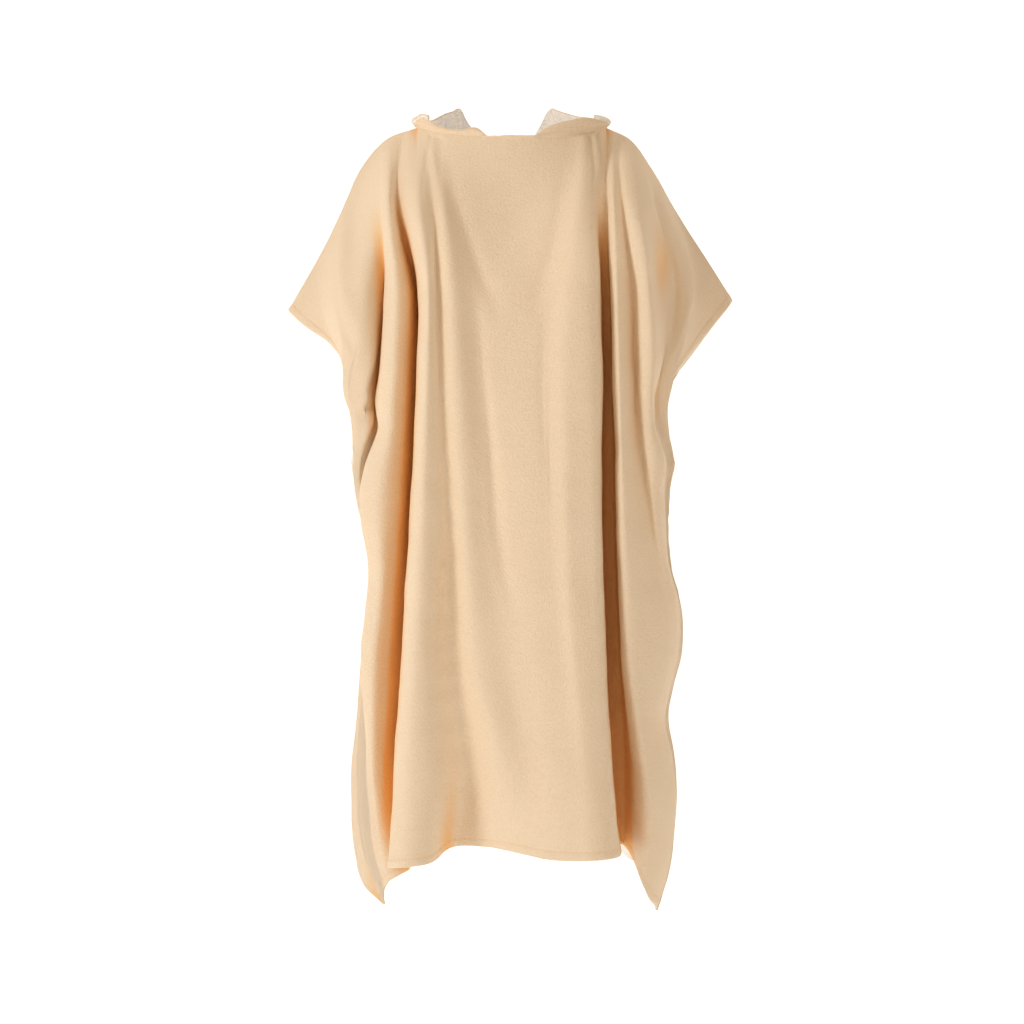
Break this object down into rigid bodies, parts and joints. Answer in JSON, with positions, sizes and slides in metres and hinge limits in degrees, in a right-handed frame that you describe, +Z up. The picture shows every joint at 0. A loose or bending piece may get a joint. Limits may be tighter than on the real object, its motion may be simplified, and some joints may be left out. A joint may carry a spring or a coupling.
{
  "type": "hooded bath poncho",
  "caption": "Adult hooded bath poncho in peach towelling with cream loop terry inside, hanging in the hollow form it has when worn, hood down.",
  "frame": {"origin": "midway between the two points where the neck meets the shoulders, where the wearer's shoulders hold it", "axes": "+Z up, the front faces -Y, +X to the viewer's right from the front"},
  "size_m": [0.6672, 0.3626, 1.2197],
  "materials": {
    "peach_weave": "flat woven cotton, slightly brushed",
    "cream_terry": "cotton loop terry"
  },
  "bodies": {
    "root": {"front_panel": "peach_weave", "back_panel": "peach_weave", "neck_band": "peach_weave", "hood_left": "peach_weave", "hood_right": "peach_weave"}
  },
  "joints": []
}
